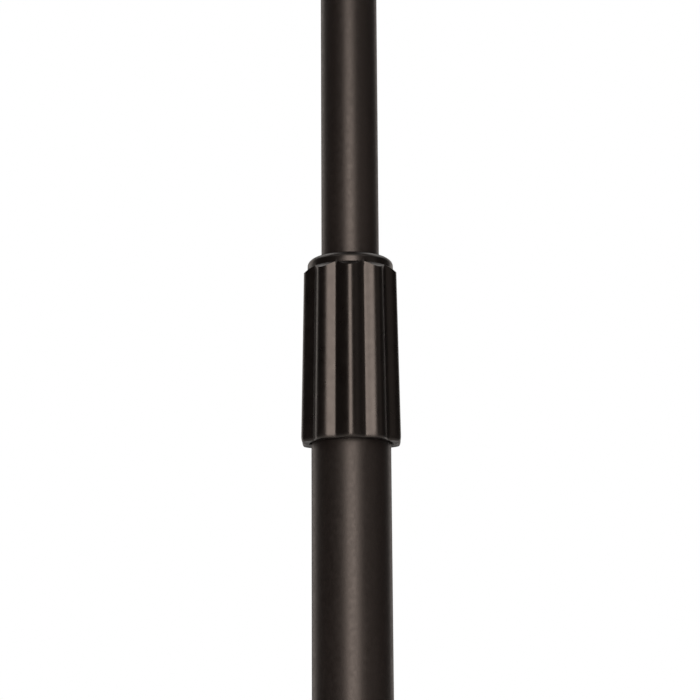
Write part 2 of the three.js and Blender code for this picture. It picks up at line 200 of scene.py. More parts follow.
# %% [markdown]
# ## Finishes
#
# Every finish is built from noise on Object coordinates. Since each part's object sits at the
# origin, one metre in the noise is one metre on the stand, and the grain has its true size
# everywhere. A finish is a base colour that drifts between two tones, a roughness that varies,
# and a bump made of one or two noises.

# %% A helper for finishes


class Finish:
    """A principled material with a few node shortcuts."""

    def __init__(self, name, slot, roughness, metallic=0.0, specular=0.5, sheen=(1, 1, 1)):
        self.material = bpy.data.materials.new(name)
        self.material["slot"] = slot
        self.material.use_nodes = True
        self.tree = self.material.node_tree
        self.shader = self.tree.nodes["Principled BSDF"]
        self.shader.inputs["Roughness"].default_value = roughness
        self.shader.inputs["Metallic"].default_value = metallic
        self.shader.inputs["Specular IOR Level"].default_value = specular
        self.shader.inputs["Specular Tint"].default_value = (*sheen, 1)
        self.place = self.tree.nodes.new("ShaderNodeTexCoord").outputs["Object"]

    def noise(self, size_mm, detail=2.0, stretch=None):
        """Noise whose blotches are about size_mm across, or longer along a stretched axis."""
        node = self.tree.nodes.new("ShaderNodeTexNoise")
        node.inputs["Scale"].default_value = 1 / (size_mm * MM)
        node.inputs["Detail"].default_value = detail
        source = self.place
        if stretch:
            mapping = self.tree.nodes.new("ShaderNodeMapping")
            mapping.inputs["Scale"].default_value = stretch
            self.tree.links.new(source, mapping.inputs["Vector"])
            source = mapping.outputs["Vector"]
        self.tree.links.new(source, node.inputs["Vector"])
        return node.outputs["Fac"]

    def spread(self, value, low, high, start=0.3, end=0.7):
        """A noise's middle range, stretched to run from low to high."""
        node = self.tree.nodes.new("ShaderNodeMapRange")
        node.inputs["From Min"].default_value = start
        node.inputs["From Max"].default_value = end
        node.inputs["To Min"].default_value = low
        node.inputs["To Max"].default_value = high
        self.tree.links.new(value, node.inputs["Value"])
        return node.outputs["Result"]

    def tint(self, value, dark, light):
        """The base colour, between two tones."""
        node = self.tree.nodes.new("ShaderNodeMix")
        node.data_type = "RGBA"
        node.inputs["A"].default_value = (*dark, 1)
        node.inputs["B"].default_value = (*light, 1)
        self.tree.links.new(value, node.inputs["Factor"])
        self.tree.links.new(node.outputs["Result"], self.shader.inputs["Base Color"])

    def rough(self, value):
        self.tree.links.new(value, self.shader.inputs["Roughness"])

    def add(self, first, second, weight):
        node = self.tree.nodes.new("ShaderNodeMath")
        node.operation = "MULTIPLY_ADD"
        self.tree.links.new(second, node.inputs[0])
        node.inputs[1].default_value = weight
        self.tree.links.new(first, node.inputs[2])
        return node.outputs[0]

    def bump(self, value, height_mm, strength=1.0):
        node = self.tree.nodes.new("ShaderNodeBump")
        node.inputs["Strength"].default_value = strength
        node.inputs["Distance"].default_value = height_mm * MM
        self.tree.links.new(value, node.inputs["Height"])
        self.tree.links.new(node.outputs["Normal"], self.shader.inputs["Normal"])


# %% [markdown]
# The tubes carry a fine powder coat. Its skin is an orange peel of bumps a few tenths of a
# millimetre across, so reflections stay recognisable but soft, and tiny flecks stand slightly
# lighter than the warm black round them. Both blacks are brown blacks. Their shine is warmed
# by the shader's own Specular Tint, which is painted warmth of the light on every reflection.

# %% Powder-coated steel
# Painted light: a warm tint on every reflection of the two blacks, standing in for the warm colour of
# the lamps' light.
PAINTED_LIGHT_WARMTH = (1, 0.89, 0.83)


def powder_coat():
    coat = Finish("powder_coat", "coated_steel", 0.42, sheen=PAINTED_LIGHT_WARMTH)
    fleck = coat.noise(0.35, 3)
    drift = coat.noise(40, 1)
    coat.tint(coat.spread(coat.add(fleck, drift, 0.5), 0, 1, 0.55, 0.95),
              dark=(0.0046, 0.0032, 0.0028), light=(0.0088, 0.0062, 0.0055))
    coat.rough(coat.spread(coat.noise(1.2, 2), 0.37, 0.46))
    coat.bump(coat.add(coat.noise(0.55, 2), fleck, 0.6), 0.02, 0.35)
    return coat.material


def smooth_moulding():
    grip = Finish("smooth_grip", "clutch_moulding", 0.3, sheen=PAINTED_LIGHT_WARMTH)
    drift = grip.noise(12, 2)
    grip.tint(grip.spread(drift, 0, 1),
              dark=(0.0020, 0.0013, 0.0011), light=(0.0034, 0.0023, 0.0020))
    grip.rough(grip.spread(grip.noise(2.5, 3), 0.27, 0.35))
    grip.bump(grip.noise(0.9, 2), 0.01, 0.15)
    return grip.material


coated_steel = powder_coat()
clutch_moulding = smooth_moulding()
print("finishes:", coated_steel.name, clutch_moulding.name)

# %% [markdown]
# ## Shaping helpers
#
# Nearly every part of a stand is turned: tubes, bushes, pins, feet. A turned part is drawn as a
# circle that is pulled along the axis and resized at each step of its outline, which is what
# extrude and resize do in edit mode. Where the outline closes on itself, as on a tube with a
# wall, the last ring is bridged to the first.

# %% Turned parts
SEGMENTS = 96


def deselect_all():
    if bpy.context.object and bpy.context.object.mode != "OBJECT":
        bpy.ops.object.mode_set(mode="OBJECT")
    bpy.ops.object.select_all(action="DESELECT")


def turned(name, outline, hollow=False, segments=SEGMENTS):
    """A piece turned about Z. The outline is a list of (radius, height) in metres."""
    deselect_all()
    (radius, height), rest = outline[0], outline[1:]
    bpy.ops.mesh.primitive_circle_add(vertices=segments, radius=radius, location=(0, 0, height))
    piece = bpy.context.active_object
    piece.name = name
    bpy.ops.object.transform_apply(location=True)
    bpy.ops.object.mode_set(mode="EDIT")
    bpy.ops.mesh.select_all(action="SELECT")
    if not hollow:
        bpy.ops.mesh.edge_face_add()
    for next_radius, next_height in rest:
        bpy.ops.mesh.extrude_region_move(
            TRANSFORM_OT_translate={"value": (0, 0, next_height - height)})
        ratio = next_radius / radius
        bpy.ops.transform.resize(value=(ratio, ratio, 1), center_override=(0, 0, next_height))
        radius, height = next_radius, next_height
    if hollow:
        bpy.ops.mesh.select_all(action="DESELECT")
        bpy.ops.mesh.select_non_manifold()
        bpy.ops.mesh.bridge_edge_loops()
    bpy.ops.mesh.select_all(action="SELECT")
    bpy.ops.mesh.normals_make_consistent(inside=False)
    bpy.ops.object.mode_set(mode="OBJECT")
    return piece


def smooth(piece, angle=35):
    deselect_all()
    piece.select_set(True)
    bpy.context.view_layer.objects.active = piece
    bpy.ops.object.shade_smooth_by_angle(angle=math.radians(angle))


def rounded(outline, edge, steps=3):
    """The closed outline with each corner replaced by a small curve that starts edge away."""
    part_of_side = 2.2
    points = [Vector(p) for p in outline]
    result = []
    count = len(points)
    for i, corner in enumerate(points):
        before, after = points[i - 1], points[(i + 1) % count]
        r = min(edge, (before - corner).length / part_of_side, (after - corner).length / part_of_side)
        a = corner + (before - corner).normalized() * r
        b = corner + (after - corner).normalized() * r
        for k in range(steps + 1):
            t = k / steps
            result.append((a.lerp(corner, t)).lerp(corner.lerp(b, t), t))
    return [tuple(p) for p in result]


def place(piece, matrix):
    """Puts the shape where matrix says, and leaves the object itself at the origin."""
    piece.data.transform(matrix)
    piece.data.update()
    return piece


def settle(piece, material, body, *nodes, angle=35):
    """Shades a finished piece, gives it its finish, hangs it on its body and hides the parts it stands
    for.
    """
    smooth(piece, angle)
    piece.data.materials.clear()
    piece.data.materials.append(material)
    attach(piece, body)
    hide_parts(*nodes)
    return piece


on_shaft = Matrix.Translation((shaft_x, shaft_y, 0))

# %% [markdown]
# ## Solids that are welded and cut
#
# Moulded and stamped parts are put together from a few plain solids, as from blocks of clay.
# Boolean modifiers weld them and cut their holes. A moulded part is then remeshed and smoothed,
# which melts the seams into the soft fillets that a mould leaves. Stamped steel keeps its flat
# faces, so there a Bevel modifier only breaks the edges.

# %% Welding, cutting and softening
ALONG_X = Matrix.Rotation(math.pi / 2, 4, "Y")
ALONG_Y = Matrix.Rotation(-math.pi / 2, 4, "X")
FACING_Y = Matrix.Rotation(math.pi / 2, 4, "X")
FACING_X = Matrix(((0, 0, 1, 0), (1, 0, 0, 0), (0, 1, 0, 0), (0, 0, 0, 1)))
FIT = 0.3 * MM


def apply(piece, modifier):
    deselect_all()
    piece.select_set(True)
    bpy.context.view_layer.objects.active = piece
    bpy.ops.object.modifier_apply(modifier=modifier.name)


def weld(piece, *others, operation="UNION"):
    for other in others:
        step = piece.modifiers.new("weld", "BOOLEAN")
        step.operation, step.solver, step.object = operation, "EXACT", other
        apply(piece, step)
        bpy.data.objects.remove(other, do_unlink=True)
    return piece


def cut(piece, *tools):
    return weld(piece, *tools, operation="DIFFERENCE")


def soften(piece, grain, passes=6):
    """Rebuilds the surface from a fine grid and relaxes it, so that inner and outer edges round."""
    skin = piece.modifiers.new("skin", "REMESH")
    skin.mode, skin.voxel_size = "VOXEL", grain
    apply(piece, skin)
    relax = piece.modifiers.new("relax", "SMOOTH")
    relax.factor, relax.iterations = 0.5, passes
    apply(piece, relax)
    return piece


def break_edges(piece, width, steps=2, angle=40):
    edges = piece.modifiers.new("edges", "BEVEL")
    edges.width, edges.segments = width, steps
    edges.limit_method, edges.angle_limit = "ANGLE", math.radians(angle)
    apply(piece, edges)
    return piece


def copy_of(model, name, matrix):
    """A copy with a mesh of its own, put where matrix says."""
    twin = model.copy()
    twin.data = model.data.copy()
    twin.name = name
    scene.collection.objects.link(twin)
    return place(twin, matrix)


# %% [markdown]
# Three plain solids are enough to start from. A rod is a turned piece. A block is a cube at its
# size. A lug is a tongue with a round eye, and it starts as a circle: one half of the circle is
# flattened and moved to the tongue's root, then the outline is filled and pulled up.

# %% Rod, block and lug
NEAR = 0.01 * MM


def rod(radius, low, high, turn=Matrix.Identity(4), segments=72):
    return place(turned("rod", [(radius, low), (radius, high)], segments=segments), turn)


def block(x, y, z):
    """A box between two distances along each axis."""
    deselect_all()
    spans = (x, y, z)
    bpy.ops.mesh.primitive_cube_add(
        size=1, location=[sum(span) / 2 for span in spans], scale=[high - low for low, high in spans])
    bpy.ops.object.transform_apply(location=True, rotation=True, scale=True)
    return bpy.context.active_object


def pick_vertices(piece, wanted):
    """Selects, in edit mode, the vertices for which wanted(position) is true."""
    bpy.ops.object.mode_set(mode="EDIT")
    bpy.ops.mesh.select_mode(type="VERT")
    bpy.ops.mesh.select_all(action="DESELECT")
    bpy.ops.object.mode_set(mode="OBJECT")
    for vertex in piece.data.vertices:
        vertex.select = wanted(vertex.co)
    bpy.ops.object.mode_set(mode="EDIT")


def fill_and_raise(thickness):
    """Fills the outline that is being edited, pulls it up by a thickness and closes the solid."""
    bpy.ops.mesh.select_all(action="SELECT")
    bpy.ops.mesh.edge_face_add()
    bpy.ops.mesh.extrude_region_move(TRANSFORM_OT_translate={"value": (0, 0, thickness)})
    bpy.ops.mesh.select_all(action="SELECT")
    bpy.ops.mesh.normals_make_consistent(inside=False)
    bpy.ops.object.mode_set(mode="OBJECT")


def lug(root, root_half, eye, eye_radius, thickness):
    """A tongue in X and Y from its root to a round eye, with its thickness along Z."""
    deselect_all()
    bpy.ops.mesh.primitive_circle_add(vertices=72, radius=eye_radius, location=(eye, 0, 0))
    bpy.ops.object.transform_apply(location=True)
    piece = bpy.context.active_object
    towards = 1 if root > eye else -1
    pick_vertices(piece, lambda co: (co.x - eye) * towards > NEAR)
    bpy.ops.transform.resize(value=(0, root_half / eye_radius, 1), center_override=(root, 0, 0))
    fill_and_raise(thickness)
    return piece


# %% [markdown]
# ## The shaft
#
# Two steel tubes slide one in the other. Each is a thin wall with its cut ends broken by a
# file, so the outline of the wall is rounded at its four corners and closed on itself.

# %% The two tubes


def shaft_tube(name, node, body, radius, wall):
    low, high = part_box(node)[0][2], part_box(node)[1][2]
    outline = [(radius - wall, low), (radius, low), (radius, high), (radius - wall, high)]
    piece = turned(name, rounded(outline, 0.35 * MM), hollow=True, segments=128)
    place(piece, on_shaft)
    return settle(piece, coated_steel, body, node)


lower_radius, upper_radius = 11.0 * MM, 8.1 * MM
lower_wall, upper_wall = 1.5 * MM, 1.2 * MM
shaft_tube("lower_shaft_tube", "lower_tube", "root", lower_radius, lower_wall)
shaft_tube("upper_shaft_tube", "upper_tube", "mast", upper_radius, upper_wall)
print("tubes are", round(2 * lower_radius / MM, 1), "and", round(2 * upper_radius / MM, 1), "mm wide")

# %% [markdown]
# ## The clutch sleeve
#
# The sleeve is what a hand turns to free the shaft. It is moulded with ten soft flutes that run
# from its lower edge nearly to the top, where a cone cuts them off under a smooth domed collar.
# It starts as a turned shell whose wall is then pushed out in a wave that is blunt on the crests.
# One ring of the shell, the shoulder, is slid along the cone to where the wave meets it, so each
# crest ends in a crisp almond-shaped facet made of clean strips. A Boolean could cut the cone
# too, but it leaves slivers that spoil the shading.

# %% Fluted sleeve
FLUTES = 10
SEGMENTS_PER_FLUTE = 32
sleeve_height = sleeve_high - sleeve_low
flute_depth, flute_bluntness = 1.45 * MM, 0.75
flute_turn = math.radians(-90 - 0.7)
cone_low, cone_high = sleeve_height - 4.55 * MM, sleeve_height - 3.2 * MM
dome_start = sleeve_height - 1.9 * MM
valley_foot, valley_head = 12.8 * MM, 12.0 * MM
foot_round, foot_inset = 1.75 * MM, 0.55 * MM
lip_radius, mouth_radius = 9.3 * MM, 8.7 * MM
skirt_bore, cone_bore = 11.4 * MM, 9.9 * MM
skirt_top, cone_foot, mouth_foot = 33 * MM, sleeve_height - 5.7 * MM, sleeve_height - 2.9 * MM
between_bore_and_wall = skirt_bore + 0.5 * MM
wall_steps, edge_break, collar_gap = 14, 0.3 * MM, 0.02 * MM


def valley_radius(height):
    return valley_foot + (valley_head - valley_foot) * min(height / cone_low, 1)


def arc(start, end, steps):
    """Quarter ellipse from start to end that leaves start along the axis; points are (r, z)."""
    turns = [math.pi / 2 * k / steps for k in range(steps + 1)]
    return [(end[0] + (start[0] - end[0]) * math.cos(t), start[1] + (end[1] - start[1]) * math.sin(t))
            for t in turns]


def sleeve_outline():
    foot = arc((valley_radius(foot_round), foot_round), (valley_radius(0) - foot_inset, 0), 8)
    rise = cone_low - edge_break - foot_round
    wall = [foot_round + rise * k / wall_steps for k in range(1, wall_steps + 1)]
    outline = foot[::-1] + [(valley_radius(h), h) for h in wall]
    outline += [(valley_head, cone_low), (valley_head, cone_high + collar_gap)]
    outline += arc((valley_head, dome_start), (lip_radius, sleeve_height), 12)
    outline += [(mouth_radius + edge_break, sleeve_height), (mouth_radius, sleeve_height - edge_break)]
    outline += [(mouth_radius, mouth_foot), (cone_bore, mouth_foot)]
    outline += [(cone_bore, cone_foot), (skirt_bore, skirt_top)]
    return outline + [(skirt_bore, edge_break), (skirt_bore + edge_break, 0.0)]


def push_out_flutes(mesh):
    """Pushes the wall out in a wave, and slides the shoulder ring up to where the cone meets it."""
    for vertex in mesh.vertices:
        x, y, height = vertex.co
        radius = math.hypot(x, y)
        if radius > between_bore_and_wall and height < cone_low + NEAR:
            wave = ((1 + math.cos(FLUTES * (math.atan2(y, x) - flute_turn))) / 2) ** flute_bluntness
            scale = 1 + flute_depth * wave / radius
            vertex.co.x, vertex.co.y = x * scale, y * scale
            if height > cone_low - NEAR:
                vertex.co.z = cone_high - wave * (cone_high - cone_low)


def clutch_sleeve():
    segments = FLUTES * SEGMENTS_PER_FLUTE
    piece = turned("clutch_sleeve_grip", sleeve_outline(), hollow=True, segments=segments)
    push_out_flutes(piece.data)
    place(piece, on_shaft @ Matrix.Translation((0, 0, sleeve_low)))
    return settle(piece, clutch_moulding, "clutch", "clutch_sleeve", angle=32)


clutch_sleeve()
print("sleeve made with", FLUTES, "flutes")

# %% [markdown]
# ## More finishes
#
# The stand's moulded parts are glass-filled nylon, greyer and duller than the clutch's grip. The
# feet are matt rubber. Pins, rivets and screws are zinc plated, a metal with a faint cloudiness,
# and the threaded inserts are brass.

# %% Nylon, rubber, zinc and brass


def moulded_nylon():
    nylon = Finish("glass_filled_nylon", "black_nylon", 0.5)
    nylon.tint(nylon.spread(nylon.noise(6, 3), 0, 1),
               dark=(0.0075, 0.0068, 0.0064), light=(0.0125, 0.0115, 0.0108))
    nylon.rough(nylon.spread(nylon.noise(1.5, 3), 0.42, 0.56))
    nylon.bump(nylon.add(nylon.noise(0.5, 3), nylon.noise(0.2, 1), 0.5), 0.03, 0.4)
    return nylon.material


def foot_rubber_finish():
    rubber = Finish("matt_rubber", "foot_rubber", 0.8, specular=0.35)
    rubber.tint(rubber.spread(rubber.noise(3, 4), 0, 1),
                dark=(0.0105, 0.0098, 0.0092), light=(0.022, 0.0205, 0.019))
    rubber.rough(rubber.spread(rubber.noise(2, 3), 0.7, 0.88))
    rubber.bump(rubber.noise(0.7, 4), 0.06, 0.5)
    return rubber.material


def zinc_plate():
    zinc = Finish("zinc_plate", "zinc_steel", 0.35, metallic=1.0)
    zinc.tint(zinc.spread(zinc.noise(2.5, 4), 0, 1),
              dark=(0.40, 0.41, 0.42), light=(0.58, 0.58, 0.56))
    zinc.rough(zinc.spread(zinc.noise(1.0, 3), 0.26, 0.42))
    zinc.bump(zinc.noise(0.3, 2), 0.01, 0.3)
    return zinc.material


def turned_brass():
    brass = Finish("turned_brass", "brass", 0.32, metallic=1.0)
    brass.tint(brass.spread(brass.noise(3, 3), 0, 1),
               dark=(0.47, 0.31, 0.11), light=(0.66, 0.47, 0.20))
    brass.rough(brass.spread(brass.noise(1.2, 2), 0.24, 0.40))
    brass.bump(brass.noise(0.25, 1, stretch=(1, 1, 6)), 0.008, 0.4)
    return brass.material


black_nylon = moulded_nylon()
foot_rubber = foot_rubber_finish()
zinc_steel = zinc_plate()
brass = turned_brass()
print("finishes:", len(bpy.data.materials))

# %% [markdown]
# ## The bottom of the shaft
#
# A nylon plug closes the tube. Above it, the brace collar is moulded in one with three pairs of
# lugs, one for each brace. The lugs are welded to a ring, the ring is bored for the tube, and the
# whole is softened like any moulding.

# %% Plug and brace collar
GRAIN = 0.6 * MM
PIN_RADIUS = 3 * MM


def spoke(number, height=0.0, lean=0.0):
    """The place of a pivot on one of the three spokes, turned to lean outwards."""
    return (on_shaft @ Matrix.Rotation(leg_spokes[number], 4, "Z")
            @ Matrix.Translation((pivot_radius, 0, height)) @ Matrix.Rotation(lean, 4, "Y"))


def about_shaft(number, matrix):
    return Matrix.Rotation(leg_spokes[number], 4, "Z") @ matrix


def lugs_round_shaft(height, root, root_half, eye_radius, half_thickness):
    return [place(lug(root, root_half, pivot_radius, eye_radius, 2 * half_thickness),
                  about_shaft(i, Matrix.Translation((0, half_thickness, height)) @ FACING_Y))
            for i in spoke_numbers]


def pin_holes(height):
    hole = Matrix.Translation((pivot_radius, 0, height)) @ ALONG_Y
    return [rod(PIN_RADIUS + FIT, -30 * MM, 30 * MM, about_shaft(i, hole))
            for i in spoke_numbers]


def tube_plug():
    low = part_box("lower_tube_cap")[0][2]
    tube_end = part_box("lower_tube")[0][2]
    inside = lower_radius - lower_wall - FIT
    outline = [(lower_radius - 2.2 * MM, low), (lower_radius - 0.7 * MM, low + 0.3 * MM),
               (lower_radius, low + 1.1 * MM), (lower_radius, tube_end - FIT), (inside, tube_end - FIT),
               (inside, tube_end + 12 * MM), (inside - 1.5 * MM, tube_end + 14 * MM)]
    piece = place(turned("shaft_plug", outline), on_shaft)
    settle(piece, black_nylon, "root", "lower_tube_cap")


def brace_collar():
    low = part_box("brace_collar")[0][2]
    high = low + 20 * MM
    piece = rod(16 * MM, low, high)
    weld(piece, *lugs_round_shaft(brace_height, 14 * MM, 9 * MM, 6 * MM, 8 * MM))
    cut(piece, rod(lower_radius + FIT, low - 9 * MM, high + 9 * MM), *pin_holes(brace_height))
    soften(piece, GRAIN).name = "collar_for_braces"
    settle(place(piece, on_shaft), black_nylon, "root", "brace_collar")


tube_plug()
brace_collar()
print("collar and plug made")

# %% [markdown]
# ## The sliding hub
#
# The hub slides on the tube and spreads the legs. It is made like the collar, but each lug is
# slotted for a leg's knuckle, and a boss behind it carries the screw of the clamping knob.

# %% Leg hub


def leg_hub():
    inner, outer, slot_half = 13.2 * MM, 17.5 * MM, 4.3 * MM
    past = 40 * MM
    piece = rod(outer, hub_height - 16 * MM, hub_height + 14 * MM)
    weld(piece, *lugs_round_shaft(hub_height, 15 * MM, 11 * MM, 6.5 * MM, 8.3 * MM))
    boss = Matrix.Translation((0, 0, hub_height)) @ ALONG_Y
    weld(piece, rod(6.5 * MM, 15 * MM, 24 * MM, boss))
    slots = []
    for i in spoke_numbers:
        slot = block((outer, past), (-slot_half, slot_half),
                     (hub_height - 20 * MM, hub_height + 20 * MM))
        slots.append(place(slot, Matrix.Rotation(leg_spokes[i], 4, "Z")))
    bore = rod(inner, hub_height - past, hub_height + past)
    cut(piece, *slots, *pin_holes(hub_height), rod(2.8 * MM, 5 * MM, past, boss), bore)
    soften(piece, GRAIN).name = "sliding_hub"
    settle(place(piece, on_shaft), black_nylon, "leg_hub", "leg_hub")


leg_hub()
print("hub made at", round(hub_height / MM, 1), "mm")

# %% [markdown]
# ## Hand knobs
#
# Both knobs are the same kind: a turned body whose rim is pulled in between round lobes, so that
# fingers find a grip. The wave fades towards the middle, which keeps the face flat. The body is
# drawn as one outline that starts inside its socket, comes out and goes over the rim.

# %% Two lobed knobs


def lobed_knob(name, radius, height, lobes, depth, socket, socket_depth):
    edge = 1.2 * MM
    rim = arc((radius, height - edge), (radius - edge, height), 5)
    outline = [(socket, socket_depth), (socket, 0.0), (radius - edge, 0.0), (radius, edge), *rim,
               (socket + 3.6 * MM, height), (socket + 3.3 * MM, height - 0.5 * MM),
               (socket + 2.4 * MM, height - 0.5 * MM), (socket + 2.1 * MM, height), (1 * MM, height)]
    piece = turned(name, outline, segments=lobes * 24)
    for vertex in piece.data.vertices:
        x, y = vertex.co.x, vertex.co.y
        reach = math.hypot(x, y)
        if reach > socket + 1 * MM:
            wave = (1 - math.cos(lobes * math.atan2(y, x))) / 2
            scale = 1 - depth * wave * (reach / radius) ** 3 / reach
            vertex.co.x, vertex.co.y = x * scale, y * scale
    return piece


hub_knob_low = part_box("hub_knob")[0][1] - shaft_y
hub_knob = lobed_knob("hub_hand_knob", 12 * MM, 13 * MM, 5, 2.4 * MM, 2.8 * MM, 8.3 * MM)
place(hub_knob, on_shaft @ Matrix.Translation((0, hub_knob_low, hub_height)) @ ALONG_Y)
settle(hub_knob, black_nylon, "hub_knob", "hub_knob")

tilt_knob_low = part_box("tilt_knob")[0][0]
tilt_knob = lobed_knob("tilt_hand_knob", 18 * MM, 16 * MM, 6, 3 * MM, 6.3 * MM, 15.3 * MM)
place(tilt_knob, Matrix.Translation((tilt_knob_low, pivot.y, pivot.z)) @ ALONG_X)
settle(tilt_knob, black_nylon, "tilt_knob", "tilt_knob")
print("knobs made:", hub_knob.name, tilt_knob.name)

# %% [markdown]
# ## Pins and rivets
#
# A pin is a turned rod with a low dome at each end, hammered or pressed on. All of them are the
# same outline at different sizes, so one function draws them.

# %% Pivot pins


def headed_pin(name, radius, head, half_grip, height):
    dome = arc((head, half_grip + 0.3 * MM), (0.4 * MM, half_grip + height), 6)
    upper = [(radius, half_grip), (head - 0.3 * MM, half_grip), *dome]
    lower = [(r, -z) for r, z in reversed(upper)]
    return turned(name, lower + upper, segments=48)


def pivot_pins(kind, height, body, half_grip):
    for i in spoke_numbers:
        pin = headed_pin(f"{kind}_pivot_{i + 1}", PIN_RADIUS, 5 * MM, half_grip, 1.8 * MM)
        place(pin, spoke(i, height) @ ALONG_Y)
        settle(pin, zinc_steel, body, f"{kind}_pin_{i + 1}")


pivot_pins("leg", hub_height, "leg_hub", 8.6 * MM)
pivot_pins("brace", brace_height, "root", 10.6 * MM)
print("six pivot pins made")

# %% [markdown]
# ## The legs
#
# Each leg is a steel tube between a nylon knuckle and a rubber foot. The knuckle's round eye
# turns in the hub's slot, and its plug is pressed into the tube. Both ends are modelled once, at
# the pivot with the leg hanging straight down, and copied to the three spokes.

# %% Knuckles, leg tubes and feet
FOOT_CENTRE = 13 * MM
leg_length = (hub_height - FOOT_CENTRE) / math.cos(leg_spread)
leg_radius, leg_wall, tube_start = 8 * MM, 1.2 * MM, 18 * MM
FOOT_RIBS = 3


def knuckle_model():
    eye, half = 6 * MM, 4 * MM
    piece = rod(eye, -half, half, ALONG_Y)
    weld(piece, block((-eye, eye), (-half, half), (-tube_start + FIT, 0)))
    weld(piece, rod(leg_radius, -tube_start + FIT, -tube_start + 3 * MM))
    weld(piece, rod(leg_radius - leg_wall - FIT, -tube_start - 20 * MM, -tube_start + 1 * MM))
    cut(piece, rod(PIN_RADIUS + FIT, -10 * MM, 10 * MM, ALONG_Y))
    return soften(piece, 0.5 * MM)


def foot_model():
    """A ribbed socket on the leg's end, over a flat pad with rings under its sole."""
    top, bottom = 30 * MM - leg_length, -leg_length - 2 * MM
    crest, groove = 10.5 * MM, 9.6 * MM
    outline = [(9 * MM, bottom), (crest, bottom + 1.5 * MM)]
    for k in range(FOOT_RIBS):
        rib = top - (16 - 5 * k) * MM
        outline += [(crest, rib), (groove, rib + 0.8 * MM)]
        outline += [(groove, rib + 2.2 * MM), (crest, rib + 3 * MM)]
    outline += [(crest, top - 0.8 * MM), (9.7 * MM, top)]
    piece = turned("foot", outline)
    sole, pad_radius = -FOOT_CENTRE, 14 * MM
    groove_top = sole + 1 * MM
    pad_outline = [(3 * MM, groove_top), (4 * MM, sole), (6.4 * MM, sole), (6.8 * MM, groove_top),
                   (8.2 * MM, groove_top), (8.6 * MM, sole), (12.6 * MM, sole),
                   (pad_radius, sole + 1.2 * MM), (pad_radius, sole + 5 * MM), (12.4 * MM, -1 * MM)]
    under = Matrix.Translation((0, 0, -leg_length)) @ Matrix.Rotation(leg_spread, 4, "Y")
    weld(piece, place(turned("pad", pad_outline), under))
    cut(piece, rod(leg_radius + FIT, 10 * MM - leg_length, 40 * MM - leg_length))
    return soften(piece, GRAIN, passes=4)


def legs():
    knuckle, foot = knuckle_model(), foot_model()
    low, high = 10.3 * MM - leg_length, -tube_start
    inside = leg_radius - leg_wall
    wall = [(inside, low), (leg_radius, low), (leg_radius, high), (inside, high)]
    tube = turned("leg", rounded(wall, 0.3 * MM), hollow=True)
    for i in spoke_numbers:
        down_leg, body = spoke(i, hub_height, -leg_spread), f"leg_{i + 1}"
        for model, part, node, finish in ((knuckle, "knuckle", "leg_knuckle", black_nylon),
                                          (tube, "tube", "leg_tube", coated_steel),
                                          (foot, "foot", "leg_foot", foot_rubber)):
            piece = copy_of(model, f"stand_{part}_{i + 1}", down_leg)
            settle(piece, finish, body, f"{node}_{i + 1}")
    for model in (knuckle, foot, tube):
        bpy.data.objects.remove(model, do_unlink=True)


legs()
print("leg length:", round(leg_length / MM, 1), "mm")

# %% [markdown]
# ## The braces
#
# A pair of flat steel straps holds each leg out. A strap is stamped from 2 mm sheet with round
# ends. Its outline starts as a circle, and half of the circle is moved to the far end. The upper
# end carries a rivet's dome.

# %% Brace straps
STRAP_LENGTH = 150 * MM
STRAP_INNER, STRAP_THICK = 8.3 * MM, 2 * MM


def strap_model():
    deselect_all()
    bpy.ops.mesh.primitive_circle_add(vertices=72, radius=7 * MM)
    piece = bpy.context.active_object
    pick_vertices(piece, lambda co: co.y > -NEAR)
    bpy.ops.transform.translate(value=(0, STRAP_LENGTH, 0))
    fill_and_raise(STRAP_THICK)
    cut(piece, rod(PIN_RADIUS + FIT, -5 * MM, 5 * MM))
    break_edges(piece, 0.35 * MM)
    place(piece, Matrix.Translation((0, STRAP_INNER + STRAP_THICK, 0)) @ FACING_Y)
    dome = arc((5 * MM, 0.5 * MM), (0.4 * MM, 2.2 * MM), 6)
    head = turned("head", [(5 * MM, -1 * MM), *dome], segments=48)
    place(head, Matrix.Translation((0, STRAP_INNER + STRAP_THICK, STRAP_LENGTH)) @ ALONG_Y)
    return weld(piece, head)


def braces():
    strap = strap_model()
    for i in spoke_numbers:
        up_brace = spoke(i, brace_height, leg_spread)
        for side, turn in (("left", 0), ("right", math.pi)):
            facing_out = up_brace @ Matrix.Rotation(turn, 4, "Z")
            piece = copy_of(strap, f"brace_bar_{i + 1}_{side}", facing_out)
            settle(piece, coated_steel, f"brace_{i + 1}", f"brace_strap_{i + 1}_{side}")
    bpy.data.objects.remove(strap, do_unlink=True)


braces()
print("straps made: 6")

# %% [markdown]
# ## The neck
#
# A nylon cup is pushed over the top of the upper tube and held by a screw. It narrows to a
# thick eye that the desk's bracket grips. The washers on each side of the eye are what rubs when
# the desk tilts.

# %% Neck fitting, screw and washers


def neck_fitting():
    low, tube_top, pivot_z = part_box("neck_fitting")[0][2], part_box("upper_tube")[1][2], pivot.z
    cup = [(10.5 * MM, low), (11.5 * MM, low + 1 * MM), (11.5 * MM, low + 36 * MM),
           (8 * MM, low + 43 * MM)]
    piece = turned("neck", cup)
    weld(piece, block((-6 * MM, 6 * MM), (-8 * MM, 8 * MM), (tube_top + 8 * MM, pivot_z)))
    across = Matrix.Translation((0, 0, pivot_z)) @ ALONG_X
    weld(piece, rod(11 * MM, -6 * MM, 6 * MM, across))
    screw_place = Matrix.Translation((0, 0, low + 12 * MM)) @ ALONG_Y
    cut(piece, rod(upper_radius + FIT, low - 5 * MM, tube_top + FIT),
        rod(PIN_RADIUS + FIT, -20 * MM, 20 * MM, across), rod(2.3 * MM, 5 * MM, 20 * MM, screw_place))
    soften(piece, 0.5 * MM).name = "neck_cup"
    settle(place(piece, on_shaft), black_nylon, "mast", "neck_fitting")


